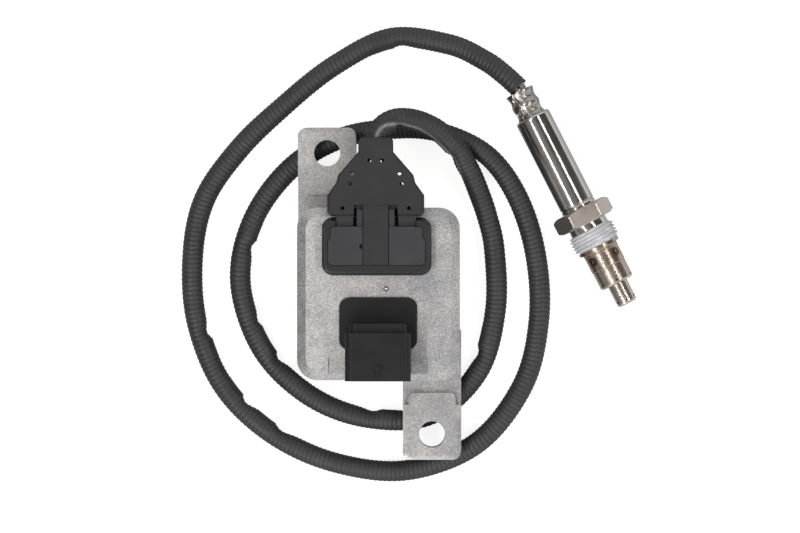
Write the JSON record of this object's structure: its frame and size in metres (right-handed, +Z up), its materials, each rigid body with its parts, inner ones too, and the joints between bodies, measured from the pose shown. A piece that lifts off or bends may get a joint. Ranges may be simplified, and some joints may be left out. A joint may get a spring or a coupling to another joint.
{
  "type": "nitrogen oxide sensor",
  "caption": "Nitrogen oxide sensor: cast control module with fixing ears and two connectors, a looped sleeved cable, and a probe with a swivel nut.",
  "frame": {"origin": "middle of the bounding box of module and probe, on the surface that the sensor lies on", "axes": "+Z up from that surface, +Y along the module towards the cable cover, +X towards the probe"},
  "size_m": [0.1884, 0.1884, 0.0482],
  "materials": {
    "cast_alloy": "shot-blasted die casting",
    "cover_plastic": "fine matt moulding",
    "plug_plastic": "fine matt moulding, faintly violet",
    "header_plastic": "fine matt moulding",
    "socket_plastic": "black matt moulding",
    "sleeve_plastic": "corrugated split sleeve",
    "seal_rubber": "moulded seal",
    "grommet_rubber": "fluoroelastomer",
    "polished_steel": "polished stainless steel, faintly warm",
    "crimp_steel": "crimped stainless steel",
    "nut_steel": "turned stainless steel, satin",
    "tinted_steel": "stainless steel tinted brown by welding heat",
    "ball_steel": "bright steel",
    "contact_metal": "tinned copper alloy",
    "ceramic_white": "sintered",
    "talc": "pressed powder",
    "board_laminate": "glass laminate",
    "chip_black": "moulded package",
    "capacitor_tan": "ceramic",
    "lead_yellow": "lead insulation",
    "lead_blue": "lead insulation",
    "lead_white": "lead insulation",
    "lead_red": "lead insulation",
    "lead_green": "lead insulation",
    "lead_black": "lead insulation",
    "lead_grey": "lead insulation"
  },
  "bodies": {
    "sensor": {"case_lid": "cast_alloy", "case_base": "cast_alloy", "case_seal": "seal_rubber", "leak_test_ball": "ball_steel", "circuit_board": "board_laminate", "processor": "chip_black", "heater_driver": "chip_black", "capacitors": "capacitor_tan", "vehicle_header": "socket_plastic", "vehicle_pins": "contact_metal", "vehicle_header_seal": "seal_rubber", "sensor_header": "header_plastic", "sensor_pins": "contact_metal", "sensor_header_seal": "seal_rubber", "plug_housing": "plug_plastic", "plug_terminals": "contact_metal", "cover_top": "cover_plastic", "cover_bottom": "cover_plastic", "plug_leads": "lead_grey", "cable_sleeve": "sleeve_plastic", "lead_yellow": "lead_yellow", "lead_blue": "lead_blue", "lead_white": "lead_white", "lead_red": "lead_red", "lead_green": "lead_green", "lead_black": "lead_black", "grommet": "grommet_rubber", "crimp_collar": "crimp_steel", "probe_sleeve": "polished_steel", "contact_holder": "ceramic_white", "contact_springs": "contact_metal", "sensing_element": "ceramic_white", "probe_body": "tinted_steel", "ceramic_rear": "ceramic_white", "talc_packing": "talc", "ceramic_front": "ceramic_white", "outer_tube": "tinted_steel", "middle_tube": "tinted_steel", "tip_tube": "tinted_steel"},
    "nut": {"mounting_nut": "nut_steel"}
  },
  "joints": [
    {"name": "nut_spin", "type": "hinge", "parent": "sensor", "child": "nut", "pos_m": [0.0464, 0.0261, 0.011], "axis": [0.4555, -0.8902, 0], "continuous": true}
  ]
}
